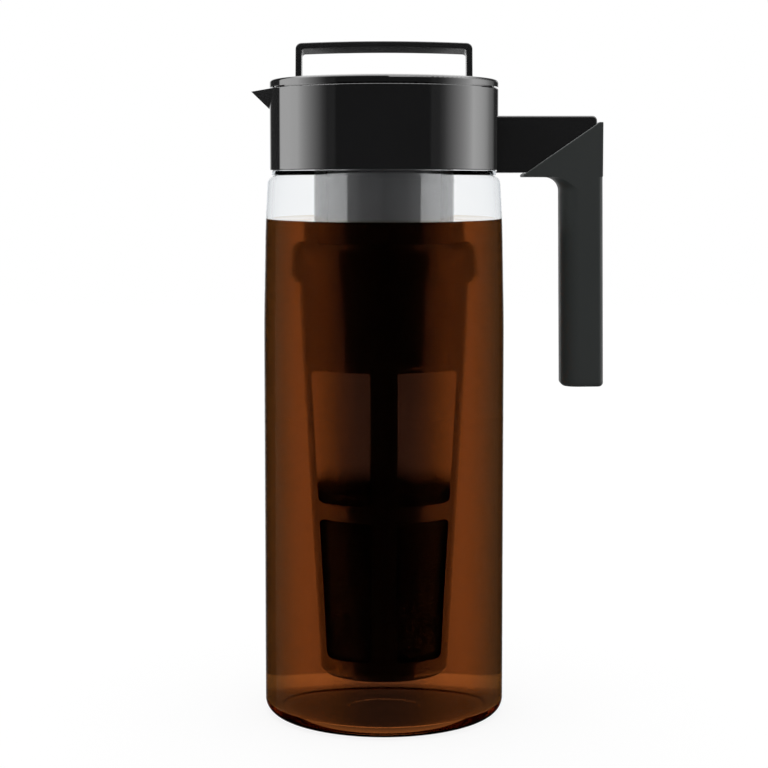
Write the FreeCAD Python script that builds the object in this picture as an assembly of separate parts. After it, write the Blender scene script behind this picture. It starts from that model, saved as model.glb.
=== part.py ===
import FreeCAD, Part
import math
import os

from FreeCAD import Vector

# Cold brew coffee maker: a clear jar with a black pouring collar and a side handle, a twist-in
# lid with a fold-down carrying handle, and a brewing filter that screws on below the lid.
# Millimetres. The origin is on the jar's axis, in the plane that the jar stands on. +Z is up,
# the side handle points to +X and the spout to -X.

# Jar
jar_radius = 55.1
jar_wall = 2.5
jar_floor = 4.0
base_corner = 6.0
inner_base_corner = 4.0
foot_width = 9.0
base_recess = 1.2
gate_recess_radius = 14.3
gate_recess_depth = 0.7
straight_height = 180.0
upper_wall_height = 225.0
upper_wall_inset = 0.9
shoulder_height = 247.2
shoulder_inset = 2.1
shoulder_corner = 3.8
inner_shoulder_corner = 2.8
wall_blend_radius = 700.0
flange_height = 2.2
flange_reach = 1.2

# Jar neck
neck_inset = 5.1
neck_wall = 2.6
neck_height = 31.1
lip_corner = 0.6
bead_reach = 0.5
bead_offset = 4.6
bead_height = 1.2
bead_slope = 0.8
gasket_groove_depth = 1.0
gasket_groove_height = 2.4
gasket_groove_offset = 23.6

# Bayonet between the jar neck and the lid
bayonet_count = 4
ramp_reach = 1.8
ramp_height = 3.0
ramp_span = 40.0
ramp_drop = 10.5
stop_height = 4.0
stop_span = 2.6
lug_span = 30.0
lug_height = 3.2
bayonet_gap = 0.4

# Pouring collar
collar_fit = 0.15
collar_wall = 2.05
collar_height = 37.0
collar_edge = 0.5
spout_reach = 8.5
spout_half_width = 18.0
spout_drop = 1.1
spout_root_drop = 0.2
spout_depth = 9.3
spout_sink = 1.0
keel_round = 1.0
trough_wall = 1.5
trough_half_width = 12.0
trough_depth = 5.6
trough_overshoot = 0.5

# Side handle
arm_length = 43.9
arm_top_drop = 12.4
arm_height = 25.6
arm_half_depth = 11.5
arm_nose_round = 2.3
arm_edge_round = 0.9
tongue_inset = 1.1
tongue_width = 12.0
tongue_half_depth = 8.0
tongue_length = 83.0
arm_lap = 5.0
grip_fit = 0.1
grip_outer_wall = 2.8
grip_width = 18.9
grip_half_depth = 12.0
grip_length = 95.5
grip_lip = 1.9
grip_lean = 0.6
grip_inner_round = 8.0
grip_outer_round = 2.6
grip_end_round = 2.0
grip_cove = 6.2
wedge_reach = 35.8
wedge_blunt = 1.1
wedge_top_drop = 2.8
wedge_land = 1.7
wedge_edge = 0.5

# Screws of the side handle
arm_screw_offsets = (11.0, 19.6)
arm_screw_radius = 1.6
arm_screw_head_radius = 3.0
arm_screw_head = 1.5
arm_screw_length = 15.0
screw_fit = 0.05
recess_width = 0.7
recess_depth_share = 0.6

# Lid
lid_gap = 0.3
rim_gap = 0.5
rim_height = 3.4
rim_edge = 1.3
rim_inner_edge = 0.8
plug_gap = 0.5
dish_wall = 1.6
lid_floor = 2.2
dish_depth = 11.1
dish_corner = 1.0
plug_plate = 2.2
plug_band = 6.4
skirt_wall = 2.2
skirt_gap = 0.4
skirt_drop = 8.6

# Seals
upper_seal_thickness = 1.2
upper_seal_inset = 0.2
seat_gap = 0.05
ring_seal_radius = 1.25
ring_seal_bore_gap = 0.35
ring_seal_groove_gap = 0.25
ring_seal_side_gap = 0.15
ring_seal_cover = 1.0

# Carrying handle on the lid
ear_thickness = 4.7
ear_half_width = 4.5
ear_round = 2.0
ear_crown = 3.7
bail_side_gap = 0.4
bail_thickness = 2.8
bail_half_width = 5.8
bail_height = 22.2
bail_arch = 0.95
bail_lean = 10.0
bail_outer_round = 2.8
bail_inner_round = 1.4
bail_edge = 0.5
bail_heel = 5.12
bail_toe_round = 5.0
pivot_height = 6.1
pivot_radius = 1.6
pivot_length = 3.6
pivot_gap = 0.06

# Neck tube below the lid
tube_radius = 32.2
tube_wall = 2.0
tube_length = 69.7
tube_flange_reach = 5.8
tube_flange = 2.2
tube_screw_count = 4
tube_screw_offset = 3.0
tube_screw_radius = 1.25
tube_screw_head_radius = 2.4
tube_screw_head = 1.6
tube_screw_bite = 1.4

# Thread between the neck tube and the filter
thread_lead = 5.0
thread_turns = 1.5
thread_height = 1.5
thread_root_width = 1.6
thread_crest_width = 1.2
thread_bore_gap = 2.2
thread_crest_gap = 0.5
thread_start = 2.0
thread_offset = 1.65
thread_sink = 0.3

# Filter
gasket_thickness = 1.7
gasket_outer_gap = 0.6
filter_ring_wall = 3.0
filter_ring_taper = 0.7
filter_ring_height = 15.5
filter_ring_chamfer = 2.5
filter_ring_chamfer_reach = 1.7
filter_ring_edge = 0.5
flange_overhang = 1.4
filter_flange = 2.2
band_wall = 3.5
band_draft = 1.2
band_height = 36.9
seam_step = 0.25
seam_height = 0.6
shell_draft = 7.15
shell_height = 143.4
shell_wall = 2.0
shell_floor = 2.5
shell_bottom_round = 3.0
rib_half_width = 5.2
side_rib_inset = 2.4
upper_window_drop = 2.5
upper_window_height = 60.3
middle_ring_height = 7.4
lower_window_height = 64.3
window_corner = 2.2
mesh_thickness = 0.4

# Distance within which two places count as one when edges are picked
same_place = 1e-4

# Levels and radii that follow from the sizes above
neck_radius = jar_radius - neck_inset
neck_bore = neck_radius - neck_wall
flange_radius = neck_radius + flange_reach
flange_top = shoulder_height + flange_height
lip_top = flange_top + neck_height
ramp_top = lip_top - ramp_drop
ramp_bottom = ramp_top - ramp_height
collar_bore = neck_radius + collar_fit
collar_radius = collar_bore + collar_wall
collar_top = flange_top + collar_height
rim_bottom = collar_top + rim_gap
rim_top = rim_bottom + rim_height
lid_wall_radius = collar_bore - lid_gap
plug_radius = neck_bore - plug_gap
dish_radius = plug_radius - dish_wall
dish_floor = rim_top - dish_depth
lid_underside = dish_floor - lid_floor
lid_shoulder = lip_top + upper_seal_thickness + seat_gap
plug_plate_bottom = lid_underside - plug_plate
band_bottom = lid_underside - plug_band
skirt_radius = neck_bore - ramp_reach - skirt_gap
skirt_bottom = band_bottom - skirt_drop
lug_top = ramp_bottom - bayonet_gap
ring_seal_middle = neck_bore - ring_seal_bore_gap - ring_seal_radius
ring_groove_radius = ring_seal_middle - ring_seal_radius - ring_seal_groove_gap
ring_groove_bottom = band_bottom + ring_seal_cover
ring_groove_top = ring_groove_bottom + 2 * (ring_seal_radius + ring_seal_side_gap)
ring_seal_height = (ring_groove_bottom + ring_groove_top) / 2
pivot_level = dish_floor + pivot_height
bail_outer = dish_radius - ear_thickness - bail_side_gap
tube_top = plug_plate_bottom
tube_bottom = tube_top - tube_flange - tube_length
tube_bore = tube_radius - tube_wall
tube_flange_radius = tube_radius + tube_flange_reach
tube_screw_circle = tube_radius + tube_screw_offset
filter_top = tube_bottom - gasket_thickness - 2 * seat_gap
thread_bore = tube_radius + thread_bore_gap
filter_ring_radius = thread_bore + filter_ring_wall
filter_flange_radius = thread_bore + flange_overhang
flange_bottom = filter_top - filter_flange
band_top_radius = tube_bore + band_wall
band_bottom_radius = band_top_radius - band_draft
shell_top_radius = band_bottom_radius - seam_step
shell_bottom_radius = shell_top_radius - shell_draft
band_end = flange_bottom - band_height
shell_bottom = band_end - shell_height
arm_top = collar_top - arm_top_drop
arm_bottom = arm_top - arm_height
arm_end = collar_radius + arm_length
grip_outer = arm_end + grip_outer_wall
grip_inner = grip_outer - grip_width
grip_shelf = arm_bottom - grip_lip


def plane_xz(u, v):
    """Point of the XZ plane."""
    return Vector(u, 0, v)


def plane_xy(u, v):
    """Point of the XY plane."""
    return Vector(u, v, 0)


def rounded_face(corners, plane=plane_xz):
    """Flat face inside corners (u, v, radius); each corner is rounded by its own radius."""
    count = len(corners)
    starts = []
    middles = []
    ends = []
    for index, (u, v, radius) in enumerate(corners):
        corner = plane(u, v)
        before = plane(*corners[index - 1][:2]) - corner
        after = plane(*corners[(index + 1) % count][:2]) - corner
        before.normalize()
        after.normalize()
        half_angle = before.getAngle(after) / 2
        reach = radius / math.tan(half_angle)
        starts.append(corner + before * reach)
        ends.append(corner + after * reach)
        if radius > 0:
            bisector = before + after
            bisector.normalize()
            middles.append(corner + bisector * (radius / math.sin(half_angle) - radius))
        else:
            middles.append(corner)
    edges = []
    for index in range(count):
        if corners[index][2] > 0:
            edges.append(Part.Arc(starts[index], middles[index], ends[index]).toShape())
        following = starts[(index + 1) % count]
        if ends[index].distanceToPoint(following) > same_place:
            edges.append(Part.LineSegment(ends[index], following).toShape())
    return Part.Face(Part.Wire(edges))


def turned(corners):
    """Solid of revolution about the Z axis of the outline (radius, height, corner radius)."""
    return rounded_face(corners).revolve(Vector(0, 0, 0), Vector(0, 0, 1), 360)


def sector(inner, outer, bottom, top, middle_angle, span):
    """Part of a ring, centred on an angle about the Z axis."""
    corners = [(inner, bottom, 0), (outer, bottom, 0), (outer, top, 0), (inner, top, 0)]
    solid = rounded_face(corners).revolve(Vector(0, 0, 0), Vector(0, 0, 1), span)
    solid.rotate(Vector(0, 0, 0), Vector(0, 0, 1), middle_angle - span / 2)
    return solid


def cylinder(radius, bottom, top):
    """Upright cylinder on the Z axis."""
    return Part.makeCylinder(radius, top - bottom, Vector(0, 0, bottom))


def across(face, half_depth):
    """Slab that runs from -half_depth to +half_depth along Y with the outline of an XZ face."""
    slab = face.extrude(Vector(0, 2 * half_depth, 0))
    slab.translate(Vector(0, -half_depth, 0))
    return slab


def matching_edges(shape, edges):
    """Edges of a shape that lie where the given edges lay before a change elsewhere."""
    found = []
    for edge in edges:
        for candidate in shape.Edges:
            if candidate.CenterOfMass.distanceToPoint(edge.CenterOfMass) < same_place:
                found.append(candidate)
    return found


def tetrahedron(tip, low, left, right):
    """Solid with four corners."""
    corners = [tip, low, left, right]
    faces = []
    for skipped in range(len(corners)):
        kept = corners[:skipped] + corners[skipped + 1:]
        faces.append(Part.Face(Part.makePolygon(kept + kept[:1])))
    return Part.makeSolid(Part.makeShell(faces))


def thread_ridge(root_radius, crest_radius, start_height):
    """Right-handed helical ridge of thread_turns turns with a tapered section."""
    half_root = thread_root_width / 2
    half_crest = thread_crest_width / 2
    section = Part.makePolygon([
        Vector(root_radius, 0, -half_root),
        Vector(crest_radius, 0, -half_crest),
        Vector(crest_radius, 0, half_crest),
        Vector(root_radius, 0, half_root),
        Vector(root_radius, 0, -half_root),
    ])
    path = Part.Wire(Part.makeHelix(thread_lead, thread_lead * thread_turns, root_radius))
    ridge = path.makePipeShell([section], True, True)
    ridge.translate(Vector(0, 0, start_height))
    return ridge


def screw(head_radius, shank_radius, head, length, countersunk):
    """Screw along +Z with its head's outer face at the origin and a cross recess."""
    under_head = shank_radius if countersunk else head_radius
    corners = [
        (0, 0, 0),
        (head_radius, 0, 0),
        (under_head, head, 0),
        (shank_radius, length - shank_radius, 0),
        (0, length, 0),
    ]
    if not countersunk:
        corners.insert(3, (shank_radius, head, 0))
    solid = turned(corners)
    depth = head * recess_depth_share
    for angle in (0, 90):
        slot = Part.makeBox(2 * shank_radius, recess_width, depth,
                            Vector(-shank_radius, -recess_width / 2, 0))
        slot.rotate(Vector(0, 0, 0), Vector(0, 0, 1), angle)
        solid = solid.cut(slot)
    return solid


def bayonet_angles():
    """Angles of the lid's lugs at rest; the ramps stand halfway between them."""
    return [index * 360 / bayonet_count for index in range(bayonet_count)]


def make_jar():
    """Clear jar: foot ring, straight wall, drawn-in top, shoulder, flange, neck and ramps."""
    foot_outer = jar_radius - base_corner
    foot_inner = foot_outer - foot_width
    recess_edge = foot_inner - base_recess
    upper_radius = jar_radius - upper_wall_inset
    shoulder_radius = jar_radius - shoulder_inset
    bead_bottom = flange_top + bead_offset
    groove_bottom = flange_top + gasket_groove_offset
    groove_top = groove_bottom + gasket_groove_height
    groove_radius = neck_radius - gasket_groove_depth
    inner_shoulder = shoulder_height - jar_wall
    jar = turned([
        (0, base_recess + gate_recess_depth, 0),
        (gate_recess_radius - gate_recess_depth, base_recess + gate_recess_depth, 0),
        (gate_recess_radius, base_recess, 0),
        (recess_edge, base_recess, 0),
        (foot_inner, 0, 0),
        (jar_radius, 0, base_corner),
        (jar_radius, straight_height, wall_blend_radius),
        (upper_radius, upper_wall_height, wall_blend_radius / 2),
        (shoulder_radius, shoulder_height, shoulder_corner),
        (flange_radius, shoulder_height, 0),
        (flange_radius, flange_top, lip_corner),
        (neck_radius, flange_top, 0),
        (neck_radius, bead_bottom, 0),
        (neck_radius + bead_reach, bead_bottom + bead_slope, 0),
        (neck_radius + bead_reach, bead_bottom + bead_slope + bead_height, 0),
        (neck_radius, bead_bottom + 2 * bead_slope + bead_height, 0),
        (neck_radius, groove_bottom, 0),
        (groove_radius, groove_bottom, 0),
        (groove_radius, groove_top, 0),
        (neck_radius, groove_top, 0),
        (neck_radius, lip_top, lip_corner),
        (neck_bore, lip_top, lip_corner),
        (neck_bore, flange_top, shoulder_corner),
        (shoulder_radius - jar_wall, inner_shoulder, inner_shoulder_corner),
        (upper_radius - jar_wall, upper_wall_height, wall_blend_radius / 2),
        (jar_radius - jar_wall, straight_height, wall_blend_radius),
        (jar_radius - jar_wall, jar_floor, inner_base_corner),
        (0, jar_floor, 0),
    ])
    root = neck_bore + neck_wall / 2
    ramp_inner = neck_bore - ramp_reach
    half_pitch = 180 / bayonet_count
    for angle in bayonet_angles():
        middle = angle - half_pitch
        jar = jar.fuse(sector(ramp_inner, root, ramp_bottom, ramp_top, middle, ramp_span))
        stop_middle = middle - (ramp_span - stop_span) / 2
        jar = jar.fuse(sector(ramp_inner, root, ramp_bottom - stop_height, ramp_bottom,
                              stop_middle, stop_span))
    return jar.removeSplitter()


def make_neck_gasket():
    """Seal in the groove round the outside of the jar's neck."""
    bottom = flange_top + gasket_groove_offset
    top = bottom + gasket_groove_height
    inner = neck_radius - gasket_groove_depth
    return turned([
        (inner, bottom + seat_gap, 0),
        (collar_bore, bottom + seat_gap, 0),
        (collar_bore, top - seat_gap, 0),
        (inner, top - seat_gap, 0),
    ])


def arm_screw_levels():
    """Heights of the two screws that hold the arm."""
    return [flange_top + offset for offset in arm_screw_offsets]


def arm_screw_head_face():
    """Distance from the axis at which a screw's head lies flush in the collar's bore."""
    return math.sqrt(collar_bore ** 2 - arm_screw_head_radius ** 2)


def arm_screw_solids(clearance):
    """The two countersunk screws, grown all round by a clearance."""
    solids = []
    for level in arm_screw_levels():
        solid = screw(arm_screw_head_radius + clearance, arm_screw_radius + clearance,
                      arm_screw_head, arm_screw_length, True)
        solid.rotate(Vector(0, 0, 0), Vector(0, 1, 0), 90)
        solid.translate(Vector(arm_screw_head_face(), 0, level))
        solids.append(solid)
    return solids


def arm_screw_holes():
    """Countersunk holes for the two screws."""
    holes = []
    for level in arm_screw_levels():
        hole = turned([
            (0, -collar_wall, 0),
            (arm_screw_head_radius + screw_fit, -collar_wall, 0),
            (arm_screw_head_radius + screw_fit, 0, 0),
            (arm_screw_radius + screw_fit, arm_screw_head, 0),
            (arm_screw_radius + screw_fit, arm_screw_length + screw_fit, 0),
            (0, arm_screw_length + screw_fit, 0),
        ])
        hole.rotate(Vector(0, 0, 0), Vector(0, 1, 0), 90)
        hole.translate(Vector(arm_screw_head_face(), 0, level))
        holes.append(hole)
    return holes


def make_spout():
    """Solid beak: a flat top, a keel below and two flat sides that run into the collar."""
    tip = Vector(-collar_radius - spout_reach, 0, collar_top - spout_drop)
    root_x = -math.sqrt(collar_radius ** 2 - spout_half_width ** 2)
    root_top = Vector(root_x, spout_half_width, collar_top - spout_root_drop)
    keel_end = Vector(-collar_radius, 0, collar_top - spout_depth)
    back_x = root_x + collar_wall + spout_sink
    side = tip + (root_top - tip) * ((back_x - tip.x) / (root_top.x - tip.x))
    low = tip + (keel_end - tip) * ((back_x - tip.x) / (keel_end.x - tip.x))
    other_side = Vector(side.x, -side.y, side.z)
    beak = tetrahedron(tip, low, side, other_side)
    keel = []
    for edge in beak.Edges:
        if abs(edge.CenterOfMass.y) < same_place and edge.BoundBox.YLength < same_place:
            keel.append(edge)
    return beak.makeFillet(keel_round, keel)


def make_trough():
    """Space of the pouring groove: it runs over the neck's lip and out to the spout's tip."""
    tip = Vector(-collar_radius - spout_reach + trough_wall, 0,
                 collar_top - spout_drop + trough_overshoot / 2)
    back_x = -collar_bore + collar_wall
    reach = back_x + collar_radius
    grow = (back_x - tip.x) / (back_x - reach - tip.x)
    half_width = trough_half_width * grow
    low = Vector(back_x, 0, tip.z - (trough_depth - spout_drop) * grow)
    side = Vector(back_x, half_width, collar_top + trough_overshoot)
    other_side = Vector(back_x, -half_width, collar_top + trough_overshoot)
    return tetrahedron(tip, low, side, other_side)


def make_collar():
    """Black collar: a snap groove over the neck's bead, the spout and the screw holes."""
    groove = collar_bore + bead_reach
    groove_bottom = flange_top + bead_offset - collar_fit
    groove_top = groove_bottom + 2 * bead_slope + bead_height + 2 * collar_fit
    collar = turned([
        (collar_bore, flange_top, 0),
        (collar_radius, flange_top, collar_edge),
        (collar_radius, collar_top, collar_edge),
        (collar_bore, collar_top, collar_edge),
        (collar_bore, groove_top, 0),
        (groove, groove_top - bead_slope, 0),
        (groove, groove_bottom + bead_slope, 0),
        (collar_bore, groove_bottom, 0),
    ])
    beak = make_spout().cut(cylinder(collar_bore, flange_top, rim_top))
    collar = collar.fuse(beak).cut(make_trough())
    for hole in arm_screw_holes():
        collar = collar.cut(hole)
    return collar.removeSplitter()


def make_arm_body(clearance):
    """Arm with its tongue, grown all round by a clearance."""
    beam_outline = rounded_face([
        (0, arm_bottom - clearance, 0),
        (arm_end + clearance, arm_bottom - clearance, 0),
        (arm_end + clearance, arm_top + clearance, arm_nose_round),
        (0, arm_top + clearance, 0),
    ])
    beam = across(beam_outline, arm_half_depth + clearance)
    top_edges = []
    for edge in beam.Edges:
        box = edge.BoundBox
        on_side = box.YLength < same_place
        upper = box.ZMin > arm_bottom + arm_lap
        if on_side and upper:
            top_edges.append(edge)
    beam = beam.makeFillet(arm_edge_round, top_edges)
    tongue_left = arm_end - tongue_inset - tongue_width
    tongue = Part.makeBox(
        tongue_width + 2 * clearance,
        2 * (tongue_half_depth + clearance),
        tongue_length + arm_lap + clearance,
        Vector(tongue_left - clearance, -tongue_half_depth - clearance,
               arm_bottom - tongue_length - clearance),
    )
    return beam.fuse(tongue)


def make_arm():
    """Arm that stands on the collar's side and carries the grip."""
    arm = make_arm_body(0).cut(cylinder(collar_radius, arm_bottom - grip_lip, rim_top))
    for hole in arm_screw_holes():
        arm = arm.cut(hole)
    return arm.removeSplitter()


def make_grip_column():
    """Upright part of the grip with its cove under the wedge, leaning slightly outwards."""
    inner_flat = grip_half_depth - grip_inner_round
    section = rounded_face([
        (grip_inner, -grip_half_depth, grip_inner_round),
        (grip_outer, -grip_half_depth, grip_outer_round),
        (grip_outer, grip_half_depth, grip_outer_round),
        (grip_inner, grip_half_depth, grip_inner_round),
    ], plane_xy)
    section.translate(Vector(0, 0, grip_shelf - grip_length))
    column = section.extrude(Vector(0, 0, grip_length + arm_lap))
    end_edges = []
    for edge in column.Edges:
        if edge.BoundBox.ZMax < grip_shelf - grip_length + same_place:
            end_edges.append(edge)
    column = column.makeFillet(grip_end_round, end_edges)
    # The cove's section is a square with a quarter circle taken out of its lower outer corner.
    near = grip_inner + grip_lip / 2
    far = grip_inner - grip_cove
    low = grip_shelf - grip_cove
    middle = Vector(grip_inner - grip_cove * (1 - math.sqrt(0.5)), 0,
                    grip_shelf - grip_cove * (1 - math.sqrt(0.5)))
    over = grip_shelf + grip_lip / 2
    cove_wire = Part.Wire([
        Part.Arc(Vector(grip_inner, 0, low), middle, Vector(far, 0, grip_shelf)).toShape(),
        Part.LineSegment(Vector(far, 0, grip_shelf), Vector(far, 0, over)).toShape(),
        Part.LineSegment(Vector(far, 0, over), Vector(near, 0, over)).toShape(),
        Part.LineSegment(Vector(near, 0, over), Vector(near, 0, low)).toShape(),
        Part.LineSegment(Vector(near, 0, low), Vector(grip_inner, 0, low)).toShape(),
    ])
    cove_face = Part.Face(cove_wire)
    column = column.fuse(across(cove_face, inner_flat))
    for side, turn in ((-1, 90), (1, -90)):
        corner = cove_face.copy()
        corner.translate(Vector(0, side * inner_flat, 0))
        axis_point = Vector(grip_inner + grip_inner_round, side * inner_flat, 0)
        column = column.fuse(corner.revolve(axis_point, Vector(0, 0, 1), turn))
    slab = Part.makeBox(grip_outer, 2 * grip_half_depth, grip_length + 2 * arm_lap,
                        Vector(arm_lap, -grip_half_depth, grip_shelf - grip_length))
    column = column.common(slab)
    column.rotate(Vector(grip_inner, 0, grip_shelf), Vector(0, 1, 0), -grip_lean)
    return column


def make_grip():
    """Grip: a wedge over the arm's end and the upright part, hollow where the arm goes in."""
    wedge_left = grip_outer - wedge_reach
    wedge_top = arm_top - wedge_top_drop
    outline = rounded_face([
        (wedge_left, grip_shelf, 0),
        (wedge_left, grip_shelf + wedge_blunt, 0),
        (grip_outer - wedge_land, wedge_top, 0),
        (grip_outer, wedge_top, 0),
        (grip_outer, grip_shelf, 0),
    ])
    wedge = across(outline, grip_half_depth)
    wedge = wedge.makeFillet(wedge_edge, wedge.Edges)
    grip = wedge.fuse(make_grip_column())
    grip = grip.cut(make_arm_body(grip_fit))
    return grip.removeSplitter()


def make_upper_seal():
    """Flat seal on the neck's lip, under the lid's shoulder."""
    return turned([
        (neck_bore + upper_seal_inset, lip_top, 0),
        (lid_wall_radius - upper_seal_inset, lip_top, 0),
        (lid_wall_radius - upper_seal_inset, lip_top + upper_seal_thickness, 0),
        (neck_bore + upper_seal_inset, lip_top + upper_seal_thickness, 0),
    ])


def make_lower_seal():
    """Round seal in the groove of the lid's plug."""
    return Part.makeTorus(ring_seal_middle, ring_seal_radius, Vector(0, 0, ring_seal_height))


def tube_screw_places():
    """Centres of the neck tube's screws at the flange's lower face."""
    places = []
    for index in range(tube_screw_count):
        angle = math.radians((index + 0.5) * 360 / tube_screw_count)
        places.append(Vector(tube_screw_circle * math.cos(angle),
                             tube_screw_circle * math.sin(angle), tube_top - tube_flange))
    return places


def tube_screw_holes():
    """Holes for the neck tube's screws."""
    depth = tube_flange + plug_plate + tube_screw_bite + screw_fit
    holes = []
    for place in tube_screw_places():
        holes.append(Part.makeCylinder(tube_screw_radius + screw_fit, depth, place))
    return holes


def make_lid_cap():
    """Upper half of the lid: rim over the collar, sunk dish and two ears for the handle."""
    cap = turned([
        (0, lid_underside, 0),
        (plug_radius, lid_underside, 0),
        (plug_radius, lid_shoulder, 0),
        (lid_wall_radius, lid_shoulder, 0),
        (lid_wall_radius, rim_bottom, 0),
        (collar_radius, rim_bottom, 0),
        (collar_radius, rim_top, rim_edge),
        (dish_radius, rim_top, rim_inner_edge),
        (dish_radius, dish_floor, dish_corner),
        (0, dish_floor, 0),
    ])
    ear_inner = dish_radius - ear_thickness
    ear_low = dish_floor - lid_floor / 2
    ear_top = pivot_level + ear_crown
    ear_block = Part.makeBox(ear_thickness + dish_wall / 2, 2 * ear_half_width, ear_top - ear_low,
                             Vector(ear_inner, -ear_half_width, ear_low))
    rounded_edges = []
    for edge in ear_block.Edges:
        if edge.BoundBox.YLength < same_place and edge.BoundBox.ZMin > ear_top - same_place:
            rounded_edges.append(edge)
    ear_block = ear_block.makeFillet(ear_round, rounded_edges)
    hole = Part.makeCylinder(pivot_radius + pivot_gap, pivot_length + bail_side_gap,
                             Vector(bail_outer, 0, pivot_level), Vector(1, 0, 0))
    ear_block = ear_block.cut(hole)
    for turn in (0, 180):
        ear = ear_block.copy()
        ear.rotate(Vector(0, 0, 0), Vector(0, 0, 1), turn)
        cap = cap.fuse(ear)
        wall_hole = hole.copy()
        wall_hole.rotate(Vector(0, 0, 0), Vector(0, 0, 1), turn)
        cap = cap.cut(wall_hole)
    for hole in tube_screw_holes():
        cap = cap.cut(hole)
    return cap.removeSplitter()


def make_lid_plug():
    """Lower half of the lid: plate, seal groove, skirt and bayonet lugs."""
    skirt_inner = skirt_radius - skirt_wall
    plug = turned([
        (0, lid_underside, 0),
        (plug_radius, lid_underside, 0),
        (plug_radius, ring_groove_top, 0),
        (ring_groove_radius, ring_groove_top, 0),
        (ring_groove_radius, ring_groove_bottom, 0),
        (plug_radius, ring_groove_bottom, 0),
        (plug_radius, band_bottom, 0),
        (skirt_radius, band_bottom, 0),
        (skirt_radius, skirt_bottom, 0),
        (skirt_inner, skirt_bottom, 0),
        (skirt_inner, plug_plate_bottom, 0),
        (0, plug_plate_bottom, 0),
    ])
    lug_radius = neck_bore - bayonet_gap
    for angle in bayonet_angles():
        plug = plug.fuse(sector(skirt_radius - skirt_wall / 2, lug_radius,
                                lug_top - lug_height, lug_top, angle, lug_span))
    for hole in tube_screw_holes():
        plug = plug.cut(hole)
    return plug.removeSplitter()


def make_neck_tube():
    """Wide tube below the lid with a screwed flange on top and a thread at its lower end."""
    flange_under = tube_top - tube_flange
    tube = turned([
        (tube_bore, tube_bottom, 0),
        (tube_radius, tube_bottom, 0),
        (tube_radius, flange_under, 0),
        (tube_flange_radius, flange_under, 0),
        (tube_flange_radius, tube_top, 0),
        (tube_bore, tube_top, 0),
    ])
    ridge = thread_ridge(tube_radius - thread_sink, tube_radius + thread_height,
                         tube_bottom + thread_start)
    tube = tube.fuse(ridge)
    for hole in tube_screw_holes():
        tube = tube.cut(hole)
    return tube.removeSplitter()


def make_tube_screws():
    """Four screws from below through the tube's flange and the plug into the lid's floor."""
    length = tube_screw_head + tube_flange + plug_plate + tube_screw_bite
    solids = []
    for place in tube_screw_places():
        solid = screw(tube_screw_head_radius, tube_screw_radius, tube_screw_head, length, False)
        solid.translate(place - Vector(0, 0, tube_screw_head))
        solids.append(solid)
    return Part.makeCompound(solids)


def make_bail():
    """Flat strap bent to a flat arch, with a trunnion on each foot; it leans back at rest."""
    top = bail_height
    end = bail_height - bail_arch
    inner = bail_outer - bail_thickness
    outer_arch = Part.Arc(Vector(-bail_outer, 0, end), Vector(0, 0, top),
                          Vector(bail_outer, 0, end)).toShape()
    inner_arch = Part.Arc(Vector(bail_outer, 0, end - bail_thickness),
                          Vector(0, 0, top - bail_thickness),
                          Vector(-bail_outer, 0, end - bail_thickness)).toShape()
    cap_wire = Part.Wire([
        outer_arch,
        Part.LineSegment(Vector(bail_outer, 0, end),
                         Vector(bail_outer, 0, end - bail_thickness)).toShape(),
        inner_arch,
        Part.LineSegment(Vector(-bail_outer, 0, end - bail_thickness),
                         Vector(-bail_outer, 0, end)).toShape(),
    ])
    strap = across(Part.Face(cap_wire), bail_half_width)
    for side in (-1, 1):
        low_x = inner if side > 0 else -bail_outer
        leg = Part.makeBox(bail_thickness, 2 * bail_half_width, end - bail_thickness / 2 + bail_heel,
                           Vector(low_x, -bail_half_width, -bail_heel))
        strap = strap.fuse(leg)
    strap = strap.removeSplitter()
    outer_edges = []
    inner_edges = []
    for edge in strap.Edges:
        box = edge.BoundBox
        along_y = box.XLength < same_place and box.ZLength < same_place
        if along_y and box.ZMin > end - same_place:
            outer_edges.append(edge)
        elif along_y and box.ZMin > 0:
            inner_edges.append(edge)
    strap = strap.makeFillet(bail_outer_round, outer_edges)
    inner_edges = matching_edges(strap, inner_edges)
    strap = strap.makeFillet(bail_inner_round, inner_edges)
    toe_edges = []
    for edge in strap.Edges:
        box = edge.BoundBox
        if box.ZMax < -bail_heel + same_place and box.YMax < -bail_half_width + same_place:
            toe_edges.append(edge)
    strap = strap.makeFillet(bail_toe_round, toe_edges)
    long_edges = []
    for edge in strap.Edges:
        box = edge.BoundBox
        on_face = box.YLength < same_place and abs(abs(box.YMin) - bail_half_width) < same_place
        if on_face and box.ZMax > -bail_heel + same_place:
            long_edges.append(edge)
    strap = strap.makeFillet(bail_edge, long_edges)
    for side in (-1, 1):
        trunnion = Part.makeCylinder(pivot_radius, pivot_length + bail_thickness / 2,
                                     Vector(side * (bail_outer - bail_thickness / 2), 0, 0),
                                     Vector(side, 0, 0))
        strap = strap.fuse(trunnion)
    strap.rotate(Vector(0, 0, 0), Vector(1, 0, 0), -bail_lean)
    strap.translate(Vector(0, 0, pivot_level))
    return strap.removeSplitter()


def make_filter_gasket():
    """Flat seal between the neck tube's end and the filter's flange."""
    bottom = filter_top + seat_gap
    return turned([
        (tube_bore, bottom, 0),
        (thread_bore - gasket_outer_gap, bottom, 0),
        (thread_bore - gasket_outer_gap, bottom + gasket_thickness, 0),
        (tube_bore, bottom + gasket_thickness, 0),
    ])


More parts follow.
